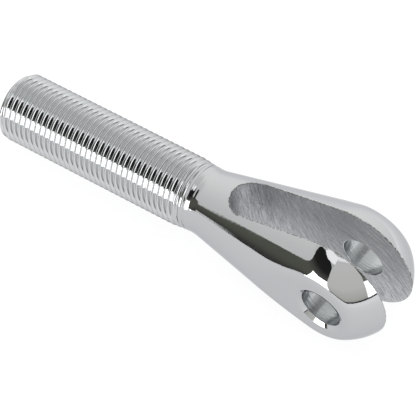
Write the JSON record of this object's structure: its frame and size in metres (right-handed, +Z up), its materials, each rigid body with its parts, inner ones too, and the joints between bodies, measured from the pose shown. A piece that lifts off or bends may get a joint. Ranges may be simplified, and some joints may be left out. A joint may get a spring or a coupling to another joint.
{
  "type": "clevis rod end",
  "caption": "One-piece clevis rod end: a threaded shank tapers out to a rounded forked head, slotted for a flat tab and cross-bored for a clevis pin.",
  "frame": {"origin": "centre of the pin bore, midway between the two ears", "axes": "+X out of the fork along the shank's axis, with the shank towards -X; Y along the pin; +Z up, out of the slot's open side"},
  "size_m": [0.1012, 0.0222, 0.027],
  "materials": {
    "chrome_plate": "bright chrome plate over polished steel, on the shank, neck, taper and ears",
    "milled_slot": "slot faces as milled, with tool marks, thinly plated and dull",
    "drilled_bore": "pin bore as drilled, with fine rings"
  },
  "bodies": {
    "root": {"clevis_rod_end": "chrome_plate"}
  },
  "joints": []
}
